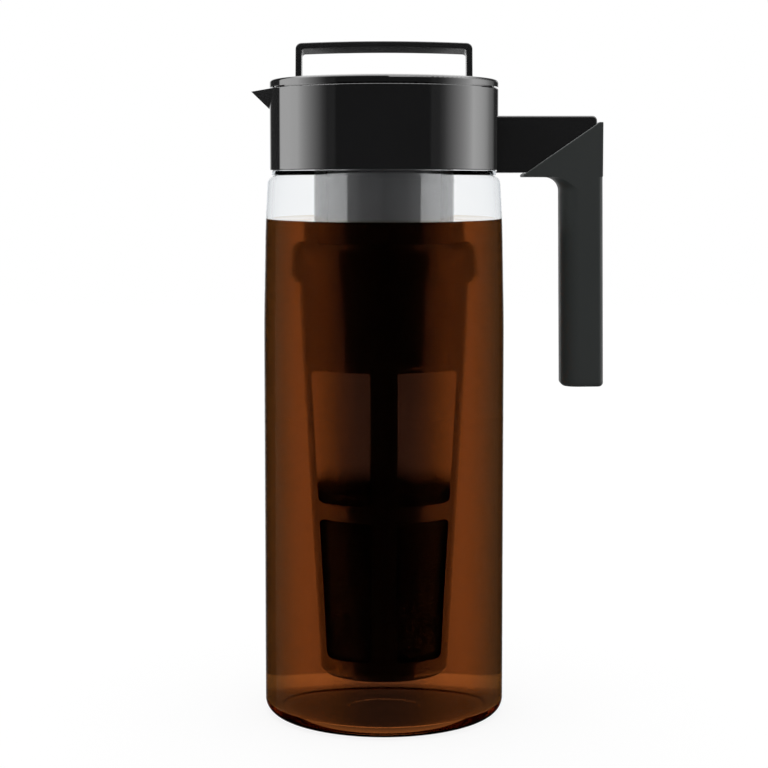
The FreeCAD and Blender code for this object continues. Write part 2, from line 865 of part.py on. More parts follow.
def make_filter_ring():
    """Ring with the inside thread that takes the neck tube."""
    top = filter_top + filter_ring_height
    shoulder = top - filter_ring_chamfer
    upper_radius = filter_ring_radius - filter_ring_taper
    ring = turned([
        (thread_bore, filter_top, 0),
        (filter_ring_radius, filter_top, filter_ring_edge),
        (upper_radius, shoulder, filter_ring_edge),
        (upper_radius - filter_ring_chamfer_reach, top, 0),
        (thread_bore, top, 0),
    ])
    ridge = thread_ridge(thread_bore + thread_sink, tube_radius + thread_crest_gap,
                         tube_bottom + thread_start + thread_offset)
    return ring.fuse(ridge).removeSplitter()


def shell_radius(height):
    """Outside radius of the filter's tapered shell at a height."""
    share = (height - shell_bottom) / (band_end - seam_height - shell_bottom)
    return shell_bottom_radius + shell_draft * share


def window_levels():
    """Bottom and top of the upper and the lower windows."""
    upper_top = band_end - upper_window_drop
    upper_bottom = upper_top - upper_window_height
    lower_top = upper_bottom - middle_ring_height
    lower_bottom = lower_top - lower_window_height
    return {"upper": (upper_bottom, upper_top), "lower": (lower_bottom, lower_top)}


def window_prisms(level):
    """Four prisms of one level: front left, front right, back right and back left."""
    bottom, top = window_levels()[level]
    face = rounded_face([
        (rib_half_width, bottom, window_corner),
        (shell_radius(bottom) - side_rib_inset, bottom, window_corner),
        (shell_radius(top) - side_rib_inset, top, window_corner),
        (rib_half_width, top, window_corner),
    ])
    back_right = face.extrude(Vector(0, filter_ring_radius, 0))
    front_right = face.extrude(Vector(0, -filter_ring_radius, 0))
    prisms = []
    for prism, turn in ((back_right, 180), (front_right, 0), (back_right, 0), (front_right, 180)):
        copy = prism.copy()
        copy.rotate(Vector(0, 0, 0), Vector(0, 0, 1), turn)
        prisms.append(copy)
    return prisms


def make_filter_frame():
    """Filter body: flange, plain band, tapered shell with ribs and windows, closed bottom."""
    floor_top = shell_bottom + shell_floor
    frame = turned([
        (tube_bore, filter_top, 0),
        (filter_flange_radius, filter_top, 0),
        (filter_flange_radius, flange_bottom, 0),
        (band_top_radius, flange_bottom, 0),
        (band_bottom_radius, band_end, 0),
        (shell_top_radius, band_end - seam_height, 0),
        (shell_bottom_radius, shell_bottom, shell_bottom_round),
        (0, shell_bottom, 0),
        (0, floor_top, 0),
        (shell_radius(floor_top) - shell_wall, floor_top, 0),
        (tube_bore, band_end, 0),
    ])
    for level in window_levels():
        for prism in window_prisms(level):
            frame = frame.cut(prism)
    return frame.removeSplitter()


def make_mesh_panels(level):
    """Four thin mesh panels of one level, each filling its window at half the wall's depth."""
    bottom, top = window_levels()[level]
    half = mesh_thickness / 2
    low_middle = shell_radius(bottom) - shell_wall / 2
    high_middle = shell_radius(top) - shell_wall / 2
    skin = turned([
        (low_middle - half, bottom, 0),
        (low_middle + half, bottom, 0),
        (high_middle + half, top, 0),
        (high_middle - half, top, 0),
    ])
    return [skin.common(prism) for prism in window_prisms(level)]


def build():
    """All sub-parts by name."""
    nodes = {
        "jar_body": make_jar(),
        "neck_gasket": make_neck_gasket(),
        "spout_collar": make_collar(),
        "handle_arm": make_arm(),
        "arm_screws": Part.makeCompound(arm_screw_solids(0)),
        "handle_grip": make_grip(),
        "lid_seal_upper": make_upper_seal(),
        "lid_seal_lower": make_lower_seal(),
        "lid_cap": make_lid_cap(),
        "lid_plug": make_lid_plug(),
        "neck_tube": make_neck_tube(),
        "tube_screws": make_tube_screws(),
        "bail_handle": make_bail(),
        "filter_gasket": make_filter_gasket(),
        "filter_ring": make_filter_ring(),
        "filter_frame": make_filter_frame(),
    }
    for level in window_levels():
        for number, panel in enumerate(make_mesh_panels(level), start=1):
            nodes[f"mesh_{level}_{number}"] = panel
    return nodes


os.makedirs("parts", exist_ok=True)
for name, shape in build().items():
    shape.exportStep(f"parts/{name}.step")
    solids = len(shape.Solids)
    print(f"{name}: solids {solids}, volume {shape.Volume / 1000:.2f} ml, valid {shape.isValid()}")
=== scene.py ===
"""Looks of a cold brew coffee maker: finishes, coffee, wet grounds, studio and camera.

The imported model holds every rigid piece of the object. This script gives those pieces their
finishes and adds what is soft or liquid: the brewed coffee in the jar and the wet grounds in
the filter. Everything is in metres, +Z is up, the jar's axis is the Z axis, the side handle
points to +X and the viewer of the photograph stands at -Y.
"""

import logging
import math
from dataclasses import dataclass
from enum import Enum

import bpy
import numpy as np
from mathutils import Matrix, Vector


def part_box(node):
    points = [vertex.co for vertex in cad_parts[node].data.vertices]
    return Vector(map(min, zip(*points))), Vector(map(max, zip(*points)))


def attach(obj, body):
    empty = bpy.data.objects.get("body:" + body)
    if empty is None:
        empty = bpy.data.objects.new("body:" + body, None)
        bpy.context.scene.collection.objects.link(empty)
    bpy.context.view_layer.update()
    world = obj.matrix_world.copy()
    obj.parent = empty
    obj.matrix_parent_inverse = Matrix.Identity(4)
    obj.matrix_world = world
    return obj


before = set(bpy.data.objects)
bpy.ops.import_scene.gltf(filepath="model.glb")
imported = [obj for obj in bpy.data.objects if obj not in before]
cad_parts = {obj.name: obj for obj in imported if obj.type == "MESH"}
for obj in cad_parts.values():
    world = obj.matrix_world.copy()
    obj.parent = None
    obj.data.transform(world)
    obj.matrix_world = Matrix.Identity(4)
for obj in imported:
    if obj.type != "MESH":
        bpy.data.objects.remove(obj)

LOG = logging.getLogger("cold_brew_maker")
MM = 0.001
WHITE = (1.0, 1.0, 1.0)

Colour = tuple[float, float, float]
Stops = tuple[tuple[float, Colour], ...]
Bands = tuple[tuple[float, float], ...]
Span = tuple[float, float]


def opaque(colour: Colour) -> tuple[float, float, float, float]:
    """The colour with full cover, as colour sockets take it."""
    return (*colour, 1.0)


class Channel:
    """A number that varies over a surface: an output socket with arithmetic."""

    def __init__(self, graph: "Graph", socket: bpy.types.NodeSocket) -> None:
        """Keeps the socket and the graph that it belongs to."""
        self.graph = graph
        self.socket = socket

    def _apply(self, operation: str, *values: "float | Channel") -> "Channel":
        """Adds one Math node on the given values, in their order."""
        return self.graph.channel("ShaderNodeMath", {"operation": operation}, dict(enumerate(values)))

    def __add__(self, other: "float | Channel") -> "Channel":
        """Sum."""
        return self._apply("ADD", self, other)

    def __radd__(self, other: float) -> "Channel":
        """Sum with a plain number on the left."""
        return self._apply("ADD", other, self)

    def __sub__(self, other: "float | Channel") -> "Channel":
        """Difference."""
        return self._apply("SUBTRACT", self, other)

    def __rsub__(self, other: float) -> "Channel":
        """Difference from a plain number."""
        return self._apply("SUBTRACT", other, self)

    def __mul__(self, other: "float | Channel") -> "Channel":
        """Product."""
        return self._apply("MULTIPLY", self, other)

    def __truediv__(self, other: "float | Channel") -> "Channel":
        """Quotient."""
        return self._apply("DIVIDE", self, other)

    def __pow__(self, other: "float | Channel") -> "Channel":
        """Power."""
        return self._apply("POWER", self, other)

    def __abs__(self) -> "Channel":
        """Absolute value."""
        return self._apply("ABSOLUTE", self)

    def sine(self) -> "Channel":
        """Sine of an angle in radians."""
        return self._apply("SINE", self)

    def angle_to(self, across: "Channel") -> "Channel":
        """Angle in radians of the point whose rise is this channel and whose run is across."""
        return self._apply("ARCTAN2", self, across)

    def below(self, limit: "float | Channel") -> "Channel":
        """1 where the number is under the limit, else 0."""
        return self._apply("LESS_THAN", self, limit)

    def least(self, other: "float | Channel") -> "Channel":
        """The smaller of two numbers."""
        return self._apply("MINIMUM", self, other)

    def between(self, low: float, high: float) -> "Channel":
        """0 under low, 1 over high and a smooth rise from one to the other."""
        return self.graph.channel(
            "ShaderNodeMapRange",
            {"interpolation_type": "SMOOTHSTEP"},
            {"Value": self, "From Min": low, "From Max": high},
        )


class Graph:
    """Node tree of one material or of the world, with one way to add a node."""

    def __init__(self, tree: bpy.types.NodeTree) -> None:
        """Empties the tree."""
        tree.nodes.clear()
        self.tree = tree

    def add(
        self,
        kind: str,
        settings: dict[str, object] | None = None,
        sockets: dict[str | int, object] | None = None,
    ) -> bpy.types.Node:
        """Adds one node.

        Args:
            kind: Type name of the node.
            settings: Properties, set before the sockets.
            sockets: Numbers, colours, channels or output sockets by input name or number.

        Returns:
            The new node.
        """
        node = self.tree.nodes.new(kind)
        for name, value in (settings or {}).items():
            setattr(node, name, value)
        for key, value in (sockets or {}).items():
            if isinstance(value, Channel):
                self.tree.links.new(value.socket, node.inputs[key])
            elif isinstance(value, bpy.types.NodeSocket):
                self.tree.links.new(value, node.inputs[key])
            else:
                node.inputs[key].default_value = value
        return node

    def channel(
        self,
        kind: str,
        settings: dict[str, object] | None = None,
        sockets: dict[str | int, object] | None = None,
        output: str | int = 0,
    ) -> Channel:
        """Adds a node as add() does and gives one of its outputs as a channel."""
        return Channel(self, self.add(kind, settings, sockets).outputs[output])

    def ramp(self, place: Channel, stops: Stops) -> bpy.types.NodeSocket:
        """Colour that follows a number.

        Args:
            place: Number from 0 to 1.
            stops: Pairs of a place and its colour, in rising order.

        Returns:
            The colour's socket.
        """
        node = self.add("ShaderNodeValToRGB", None, {0: place})
        elements = node.color_ramp.elements
        while len(elements) < len(stops):
            elements.new(1.0)
        for element, (position, colour) in zip(elements, stops):
            element.position = position
            element.color = opaque(colour)
        return node.outputs[0]

    def place(self) -> bpy.types.NodeSocket:
        """Object coordinates in metres."""
        return self.add("ShaderNodeTexCoord").outputs["Object"]

    def axes(self, vector: bpy.types.NodeSocket) -> tuple[Channel, Channel, Channel]:
        """The three parts of a vector."""
        node = self.add("ShaderNodeSeparateXYZ", None, {0: vector})
        return tuple(Channel(self, node.outputs[index]) for index in range(3))

    def from_axis(self) -> Channel:
        """Distance from the Z axis in metres."""
        across, away, _ = self.axes(self.place())
        return (across * across + away * away) ** 0.5

    def turn(self) -> Channel:
        """1 - cos of the angle between the surface's normal and the line of sight."""
        return self.channel("ShaderNodeLayerWeight", None, {"Blend": 0.5}, "Facing")

    def bounced(self, kind: str) -> Channel:
        """1 for a ray that has met such a surface before, else 0.

        Args:
            kind: "Glossy", "Diffuse" or "Transmission".

        Returns:
            The ray's state as a channel.
        """
        return self.channel("ShaderNodeLightPath", None, None, f"{kind} Depth").least(1.0)

    def noise(self, grain: float, detail: float = 3.0, roughness: float = 0.5) -> Channel:
        """Smooth noise from 0 to 1.

        Args:
            grain: Size of one lump in metres.
            detail: Number of finer layers.
            roughness: Weight of the finer layers.

        Returns:
            The noise as a channel.
        """
        sockets = {"Vector": self.place(), "Scale": 1 / grain, "Detail": detail, "Roughness": roughness}
        return self.channel("ShaderNodeTexNoise", None, sockets)

    def blend(self, share: "float | Channel", low: object, high: object) -> bpy.types.NodeSocket:
        """Mix of two colours: low where share is 0 and high where it is 1."""
        node = self.add("ShaderNodeMix", {"data_type": "RGBA"}, {0: share, 6: low, 7: high})
        return node.outputs[2]

    def shade(self, colour: Colour, spread: float, share: Channel) -> bpy.types.NodeSocket:
        """A colour that wanders by a spread, darker where share is 0 and lighter where it is 1."""
        dark = tuple(part * (1 - spread) for part in colour)
        light = tuple(min(1.0, part * (1 + spread)) for part in colour)
        return self.blend(share, opaque(dark), opaque(light))

    def bump(self, height: Channel) -> bpy.types.NodeSocket:
        """Normal of a surface raised by a height in metres."""
        return self.add("ShaderNodeBump", None, {"Distance": 1.0, "Height": height}).outputs[0]

    def shader(self, kind: str, sockets: dict[str, object] | None = None) -> bpy.types.NodeSocket:
        """Adds a shader node and gives its output."""
        return self.add(kind, None, sockets).outputs[0]

    def mix(
        self, share: Channel, low: bpy.types.NodeSocket, high: bpy.types.NodeSocket
    ) -> bpy.types.NodeSocket:
        """Mix of two shaders: low where share is 0 and high where it is 1."""
        return self.shader("ShaderNodeMixShader", {0: share, 1: low, 2: high})

    def show(self, **shaders: bpy.types.NodeSocket) -> None:
        """Joins shaders to the material's output, each under the name of its input there."""
        self.add("ShaderNodeOutputMaterial", None, shaders)

    def surface(self, sockets: dict[str, object]) -> None:
        """Shows a Principled shader with the given sockets."""
        self.show(Surface=self.shader("ShaderNodeBsdfPrincipled", sockets))


@dataclass(frozen=True)
class Finish:
    """One finish of the object: a name and a way to build its material."""

    name: str

    def lay(self, graph: Graph) -> None:
        """Builds the finish's nodes in an empty graph."""
        raise NotImplementedError

    def material(self) -> bpy.types.Material:
        """Makes the material."""
        material = bpy.data.materials.new(self.name)
        material.use_nodes = True
        self.lay(Graph(material.node_tree))
        return material


@dataclass(frozen=True)
class MouldedPlastic(Finish):
    """Opaque moulded plastic with a soft flow pattern, fine orange peel and uneven shine."""

    colour: Colour
    roughness: float
    roughness_spread: float = 0.03
    colour_spread: float = 0.12
    gloss_coat: float = 0.0
    coat_roughness: float = 0.02
    coat_bend: float = 1.5
    peel_grain: float = 5 * MM
    peel_height: float = 0.002 * MM
    flow_grain: float = 22 * MM

    def lay(self, graph: Graph) -> None:
        """Builds the finish's nodes in an empty graph."""
        flow = graph.noise(self.flow_grain, detail=4.0)
        peel = graph.noise(self.peel_grain, detail=1.0)
        graph.surface({
            "Base Color": graph.shade(self.colour, self.colour_spread, flow),
            "Roughness": self.roughness + (flow - 0.5) * (2 * self.roughness_spread),
            "Coat Weight": self.gloss_coat,
            "Coat Roughness": self.coat_roughness,
            "Coat IOR": self.coat_bend,
            "Normal": graph.bump(peel * self.peel_height),
        })


@dataclass(frozen=True)
class SoftTouch(Finish):
    """Matt soft-touch coat with a fine stipple and smoother patches where it is handled."""

    colour: Colour
    colour_spread: float = 0.14
    roughness: float = 0.52
    polish: float = 0.08
    polished: Span = (0.45, 0.75)
    sheen: float = 0.08
    sheen_roughness: float = 0.4
    stipple_grain: float = 0.45 * MM
    stipple_height: float = 0.02 * MM
    wear_grain: float = 30 * MM

    def lay(self, graph: Graph) -> None:
        """Builds the finish's nodes in an empty graph."""
        handling = graph.noise(self.wear_grain)
        stipple = graph.noise(self.stipple_grain, detail=2.0, roughness=0.6)
        graph.surface({
            "Base Color": graph.shade(self.colour, self.colour_spread, handling),
            "Roughness": self.roughness - handling.between(*self.polished) * self.polish,
            "Sheen Weight": self.sheen,
            "Sheen Roughness": self.sheen_roughness,
            "Normal": graph.bump(stipple * self.stipple_height),
        })


@dataclass(frozen=True)
class Silicone(Finish):
    """Translucent grey silicone with a dusty, uneven skin."""

    colour: Colour
    colour_spread: float = 0.08
    roughness: float = 0.42
    roughness_spread: float = 0.16
    scatter: float = 0.35
    scatter_depth: float = 1.5 * MM
    dust_grain: float = 3 * MM
    dust_height: float = 0.03 * MM

    def lay(self, graph: Graph) -> None:
        """Builds the finish's nodes in an empty graph."""
        dust = graph.noise(self.dust_grain)
        graph.surface({
            "Base Color": graph.shade(self.colour, self.colour_spread, dust),
            "Roughness": self.roughness + dust * self.roughness_spread,
            "Subsurface Weight": self.scatter,
            "Subsurface Scale": self.scatter_depth,
            "Normal": graph.bump(dust * self.dust_height),
        })


@dataclass(frozen=True)
class Steel(Finish):
    """Stainless steel of a turned screw with fine rings from the tool."""

    colour: Colour
    colour_spread: float = 0.1
    roughness: float = 0.24
    roughness_spread: float = 0.14
    stain_grain: float = 0.8 * MM
    ring_pitch: float = 0.12 * MM
    ring_height: float = 0.001 * MM

    def lay(self, graph: Graph) -> None:
        """Builds the finish's nodes in an empty graph."""
        _, _, height = graph.axes(graph.place())
        rings = (height * (2 * math.pi / self.ring_pitch)).sine()
        stain = graph.noise(self.stain_grain)
        graph.surface({
            "Base Color": graph.shade(self.colour, self.colour_spread, stain),
            "Metallic": 1.0,
            "Roughness": self.roughness + stain * self.roughness_spread,
            "Normal": graph.bump(rings * self.ring_height),
        })


@dataclass(frozen=True)
class ClearPlastic(Finish):
    """Polished clear plastic that looks faintly blue grey through a thick edge.

    It bends light less than real plastic does, because the photograph shows nearly no mirror
    image on the jar.
    """

    tint: Colour
    bend: float = 1.04
    absorbed: Colour = (0.78, 0.80, 0.82)
    density: float = 60.0
    haze_grain: float = 9 * MM
    haze_spread: float = 0.006
    ripple_grain: float = 28 * MM
    ripple_height: float = 0.01 * MM

    def lay(self, graph: Graph) -> None:
        """Builds the finish's nodes in an empty graph."""
        ripple = graph.noise(self.ripple_grain, detail=1.0)
        haze = graph.noise(self.haze_grain)
        clear = graph.shader("ShaderNodeBsdfPrincipled", {
            "Base Color": graph.shade(self.tint, self.haze_spread, haze),
            "Roughness": 0.0,
            "IOR": self.bend,
            "Transmission Weight": 1.0,
            "Normal": graph.bump(ripple * self.ripple_height),
        })
        depth = graph.shader(
            "ShaderNodeVolumeAbsorption", {"Color": opaque(self.absorbed), "Density": self.density}
        )
        graph.show(Surface=clear, Volume=depth)


@dataclass(frozen=True)
class Liquid(Finish):
    """Clear liquid whose colour follows stops, with faint clouds in it.

    It only refracts: the photograph has no mirror image of the room over the coffee's colour.
    """

    stops: Stops
    bend: float = 1.16
    cloud_grain: float = 30 * MM
    cloud_share: float = 0.05
    cloud_colour: Colour = (0.10, 0.06, 0.03)

    def along_stops(self, graph: Graph) -> Channel:
        """Number from 0 to 1 that picks the colour from the stops."""
        raise NotImplementedError

    def lay(self, graph: Graph) -> None:
        """Builds the finish's nodes in an empty graph."""
        brew = graph.ramp(self.along_stops(graph), self.stops)
        clouds = graph.noise(self.cloud_grain)
        colour = graph.blend(clouds * self.cloud_share, brew, opaque(self.cloud_colour))
        sockets = {"Color": colour, "Roughness": 0.0, "IOR": self.bend}
        graph.show(Surface=graph.shader("ShaderNodeBsdfRefraction", sockets))


@dataclass(frozen=True)
class BrewedCoffee(Liquid):
    """Brown coffee seen through its side.

    Its colour depends on how far the side turns away from the line of sight: dark where that
    line runs through the middle of the jar, brightest a little over half of the way out, olive
    at the rim. Over the coffee's own brown this is painted light: painted shade in the middle
    and at the rim, and a painted band of light between them. The stops are (turn, colour),
    with the turn as Graph.turn() gives it.
    """

    def along_stops(self, graph: Graph) -> Channel:
        """How far the side turns away from the line of sight."""
        return graph.turn()


@dataclass(frozen=True)
class CoffeeBase(Liquid):
    """Underside of the coffee: the floor shows through it, darkest round the jar's axis.

    The darkening round the axis is painted shade over the coffee's brown, for the light that
    comes up through the base. The stops are (distance from the axis as a share of reach, colour).
    """

    bend: float = 1.02
    cloud_grain: float = 18 * MM
    cloud_share: float = 0.06
    reach: float = 60 * MM

    def along_stops(self, graph: Graph) -> Channel:
        """Distance from the jar's axis as a share of reach."""
        return graph.from_axis() / self.reach


@dataclass(frozen=True)
class CoffeeSurface(Finish):
    """Top of the coffee: see-through from above, a cream mirror at a flat angle."""

    through: Colour
    mirror: Colour
    bend: float = 1.16
    mirror_turn: Span = (0.70, 0.82)
    mirror_roughness: float = 0.03
    roughness_spread: float = 0.03
    swirl_grain: float = 12 * MM
    through_spread: float = 0.06
    mirror_spread: float = 0.04

    def lay(self, graph: Graph) -> None:
        """Builds the finish's nodes in an empty graph."""
        swirl = graph.noise(self.swirl_grain)
        clear = graph.shader("ShaderNodeBsdfPrincipled", {
            "Base Color": graph.shade(self.through, self.through_spread, swirl),
            "Roughness": 0.0,
            "IOR": self.bend,
            "Transmission Weight": 1.0,
        })
        film = graph.shader("ShaderNodeBsdfPrincipled", {
            "Base Color": graph.shade(self.mirror, self.mirror_spread, swirl),
            "Metallic": 1.0,
            "Roughness": self.mirror_roughness + swirl * self.roughness_spread,
        })
        graph.show(Surface=graph.mix(graph.turn().between(*self.mirror_turn), clear, film))


@dataclass(frozen=True)
class WetGrounds(Finish):
    """Wet ground coffee: dark crumbs with a damp shine between them."""

    colour: Colour
    colour_spread: float = 0.5
    roughness: float = 0.35
    roughness_spread: float = 0.3
    shine: float = 0.2
    crumb: float = 1.1 * MM
    crumb_height: float = 0.35 * MM
    lump_grain: float = 6 * MM
    lump_height: float = 0.8 * MM
    drift: float = 6 * MM
    fines: Span = (101 * MM, 113 * MM)

    def lay(self, graph: Graph) -> None:
        """Builds the finish's nodes in an empty graph.

        Fine dust hangs over the bed: its cover falls from full at the lower height of fines to
        none at the upper one, and both heights wander by up to half of drift.
        """
        _, _, height = graph.axes(graph.place())
        crumbs = graph.channel(
            "ShaderNodeTexVoronoi",
            {"feature": "F1"},
            {"Vector": graph.place(), "Scale": 1 / self.crumb},
            "Distance",
        )
        lumps = graph.noise(self.lump_grain, detail=4.0)
        wandering = height + (lumps - 0.5) * self.drift
        graph.surface({
            "Base Color": graph.shade(self.colour, self.colour_spread, crumbs),
            "Roughness": self.roughness + lumps * self.roughness_spread,
            "Specular IOR Level": self.shine,
            "Alpha": 1 - wandering.between(*self.fines),
            "Normal": graph.bump((1 - crumbs) * self.crumb_height + lumps * self.lump_height),
        })


@dataclass(frozen=True)
class WovenMesh(Finish):
    """Fine woven mesh: threads round the filter's axis and up it, open between them."""

    colour: Colour
    colour_spread: float = 0.25
    metal: float = 0.2
    roughness: float = 0.4
    roughness_spread: float = 0.12
    stain_grain: float = 7 * MM
    middle_radius: float = 29 * MM
    pitch: float = 0.5 * MM
    thread_share: float = 0.025
    thread_height: float = 0.04 * MM

    def lay(self, graph: Graph) -> None:
        """Builds the finish's nodes in an empty graph.

        Each direction's wave is |sin(pi * s / pitch)| of the way s along it, which is 0 in the
        middle of a thread; a thread covers thread_share of the pitch.
        """
        across, away, height = graph.axes(graph.place())
        around = away.angle_to(across) * self.middle_radius
        warp = abs((around * (math.pi / self.pitch)).sine())
        weft = abs((height * (math.pi / self.pitch)).sine())
        weave = warp.least(weft)
        stain = graph.noise(self.stain_grain)
        graph.surface({
            "Base Color": graph.shade(self.colour, self.colour_spread, stain),
            "Metallic": self.metal,
            "Roughness": self.roughness + stain * self.roughness_spread,
            "Alpha": weave.below(math.sin(math.pi * self.thread_share / 2)),
            "Normal": graph.bump((1 - weave) * self.thread_height),
        })


class Palette(Enum):
    """The finishes of the object's pieces."""

    JAR = ClearPlastic("jar_clear_plastic", (0.985, 0.99, 0.992))
    GLOSS_BLACK = MouldedPlastic("gloss_black", (0.0065, 0.0065, 0.0067), 0.06, gloss_coat=1.0)
    SATIN_BLACK = MouldedPlastic(
        "satin_black", (0.0072, 0.0072, 0.0074), 0.22, gloss_coat=0.35, coat_roughness=0.12
    )
    GRIP = SoftTouch("soft_touch_grip", (0.019, 0.0225, 0.0215))
    SEAL = Silicone("grey_silicone", (0.42, 0.44, 0.47))
    TUBE = MouldedPlastic("tube_dark_grey", (0.048, 0.048, 0.05), 0.07, gloss_coat=1.0)
    FILTER = MouldedPlastic(
        "filter_plastic", (0.016, 0.012, 0.010), 0.035, 0.01,
        gloss_coat=1.0, coat_roughness=0.01, coat_bend=1.75, peel_height=0.001 * MM,
    )
    MESH = WovenMesh("woven_mesh", (0.045, 0.035, 0.028))
    STEEL = Steel("screw_steel", (0.60, 0.60, 0.59))
    # Coffee's brown with painted light: painted shade in the middle and at the rim, a painted light
    # band between.
    COFFEE = BrewedCoffee("brewed_coffee", (
        (0.0, (0.155, 0.092, 0.068)),
        (0.028, (0.170, 0.098, 0.070)),
        (0.058, (0.228, 0.118, 0.070)),
        (0.100, (0.340, 0.164, 0.070)),
        (0.168, (0.415, 0.198, 0.088)),
        (0.30, (0.385, 0.186, 0.074)),
        (0.43, (0.280, 0.150, 0.066)),
        (0.55, (0.200, 0.125, 0.060)),
        (0.8, (0.130, 0.095, 0.040)),
    ))
    COFFEE_TOP = CoffeeSurface("coffee_top", (0.06, 0.018, 0.006), (0.76, 0.66, 0.53))
    # Painted shade over the coffee's brown: darkest round the jar's axis, lighter towards the rim.
    COFFEE_BASE = CoffeeBase("coffee_base", (
        (0.0, (0.115, 0.072, 0.050)),
        (0.42, (0.118, 0.074, 0.050)),
        (0.60, (0.170, 0.098, 0.060)),
        (0.67, (0.310, 0.170, 0.090)),
        (0.77, (0.520, 0.275, 0.130)),
        (0.83, (0.700, 0.370, 0.170)),
        (1.0, (0.700, 0.370, 0.170)),
    ))
    GROUNDS = WetGrounds("wet_grounds", (0.005, 0.0035, 0.0025))


class Finishes:
    """Makes each finish's material once and puts it on pieces."""

    def __init__(self) -> None:
        """Starts with no material made."""
        self._made: dict[Palette, bpy.types.Material] = {}

    def material(self, finish: Palette) -> bpy.types.Material:
        """The finish's material, made at its first use."""
        if finish not in self._made:
            self._made[finish] = finish.value.material()
        return self._made[finish]

    def dress(self, node: str, finish: Palette) -> None:
        """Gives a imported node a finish.

        Args:
            node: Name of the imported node.
            finish: Its finish.
        """
        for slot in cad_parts[node].material_slots:
            slot.material = self.material(finish)
        LOG.info("dressed %s in %s", node, finish.value.name)


def mesh_piece(name: str, points: np.ndarray, faces: list[list[int]]) -> bpy.types.Object:
    """Puts a mesh with smooth faces into the scene.

    Args:
        name: Name of the piece.
        points: Array of points, one row each, in metres.
        faces: Point numbers of each face, anticlockwise seen from outside.

    Returns:
        The new object at the origin.
    """
    mesh = bpy.data.meshes.new(name)
    mesh.from_pydata(points.tolist(), [], faces)
    mesh.shade_smooth()
    mesh.update()
    piece = bpy.data.objects.new(name, mesh)
    bpy.context.scene.collection.objects.link(piece)
    return piece


def angles_round(sides: int) -> np.ndarray:
    """Angles of the sides of a ring in radians, from 0 and short of a full turn."""
    return np.linspace(0, 2 * math.pi, sides, endpoint=False)


def revolved(radii: np.ndarray, heights: np.ndarray, sides: int) -> tuple[np.ndarray, list[list[int]]]:
    """Closed surface of revolution: the profile's points carried round the Z axis.

    The point of row i and side j is (r cos a, r sin a, h) with a = 2 pi j / sides, r and h
    from row i. The first and last rows are poles on the axis.

    Args:
        radii: Radius per row, or per row and side.
        heights: Height per row, or per row and side. It runs up the outside from pole to pole.
        sides: Points in each ring.

    Returns:
        The points and the faces, which point outwards.
    """
    angles = angles_round(sides)
    rows = len(radii)
    radius_grid = np.broadcast_to(radii.reshape(rows, -1), (rows, sides))[1:-1]
    height_grid = np.broadcast_to(heights.reshape(rows, -1), (rows, sides))
    rings = np.stack(
        [radius_grid * np.cos(angles), radius_grid * np.sin(angles), height_grid[1:-1]], axis=-1
    )
    poles = np.array([[0, 0, height_grid[0].mean()], [0, 0, height_grid[-1].mean()]])
    points = np.concatenate([rings.reshape(-1, 3), poles])
    numbers = np.arange((rows - 2) * sides).reshape(rows - 2, sides)
    following = np.roll(numbers, -1, axis=1)
    quads = np.stack([numbers[:-1], following[:-1], following[1:], numbers[1:]], axis=-1)
    low_pole = np.full(sides, len(points) - 2)
    high_pole = np.full(sides, len(points) - 1)
    low_fan = np.stack([low_pole, following[0], numbers[0]], axis=-1)
    high_fan = np.stack([numbers[-1], following[-1], high_pole], axis=-1)
    faces = quads.reshape(-1, 4).tolist() + low_fan.tolist() + high_fan.tolist()
    return points, faces


@dataclass
class Jar:
    """Clear jar and the seal round its neck."""

    def dress(self, finishes: Finishes) -> None:
        """Gives the jar and its seal their finishes."""
        finishes.dress("jar_body", Palette.JAR)
        finishes.dress("neck_gasket", Palette.SEAL)


@dataclass
class PouringCollar:
    """Glossy collar with the beak."""

    def dress(self, finishes: Finishes) -> None:
        """Gives the collar its finish."""
        finishes.dress("spout_collar", Palette.GLOSS_BLACK)


@dataclass
class SideHandle:
    """Arm, grip and the two screws of the arm."""

    def dress(self, finishes: Finishes) -> None:
        """Gives the handle's pieces their finishes.

        Mirrors and clear pieces don't show the handle, because the photograph has no image of
        it in them.
        """
        finishes.dress("handle_arm", Palette.SATIN_BLACK)
        finishes.dress("handle_grip", Palette.GRIP)
        finishes.dress("arm_screws", Palette.STEEL)
        for node in ("handle_arm", "handle_grip", "arm_screws"):
            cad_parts[node].visible_glossy = False
            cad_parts[node].visible_transmission = False


@dataclass
class Lid:
    """Cap, plug and seals of the lid."""

    def dress(self, finishes: Finishes) -> None:
        """Gives the lid's pieces their finishes."""
        finishes.dress("lid_cap", Palette.GLOSS_BLACK)
        finishes.dress("lid_plug", Palette.SATIN_BLACK)
        finishes.dress("lid_seal_upper", Palette.SEAL)
        finishes.dress("lid_seal_lower", Palette.SEAL)


@dataclass
class CarryingHandle:
    """Strap that folds down into the lid's dish."""

    def dress(self, finishes: Finishes) -> None:
        """Gives the strap its finish."""
        finishes.dress("bail_handle", Palette.SATIN_BLACK)


@dataclass
class NeckTube:
    """Wide tube below the lid, with its screws."""

    def dress(self, finishes: Finishes) -> None:
        """Gives the tube and its screws their finishes."""
        finishes.dress("neck_tube", Palette.TUBE)
        finishes.dress("tube_screws", Palette.STEEL)


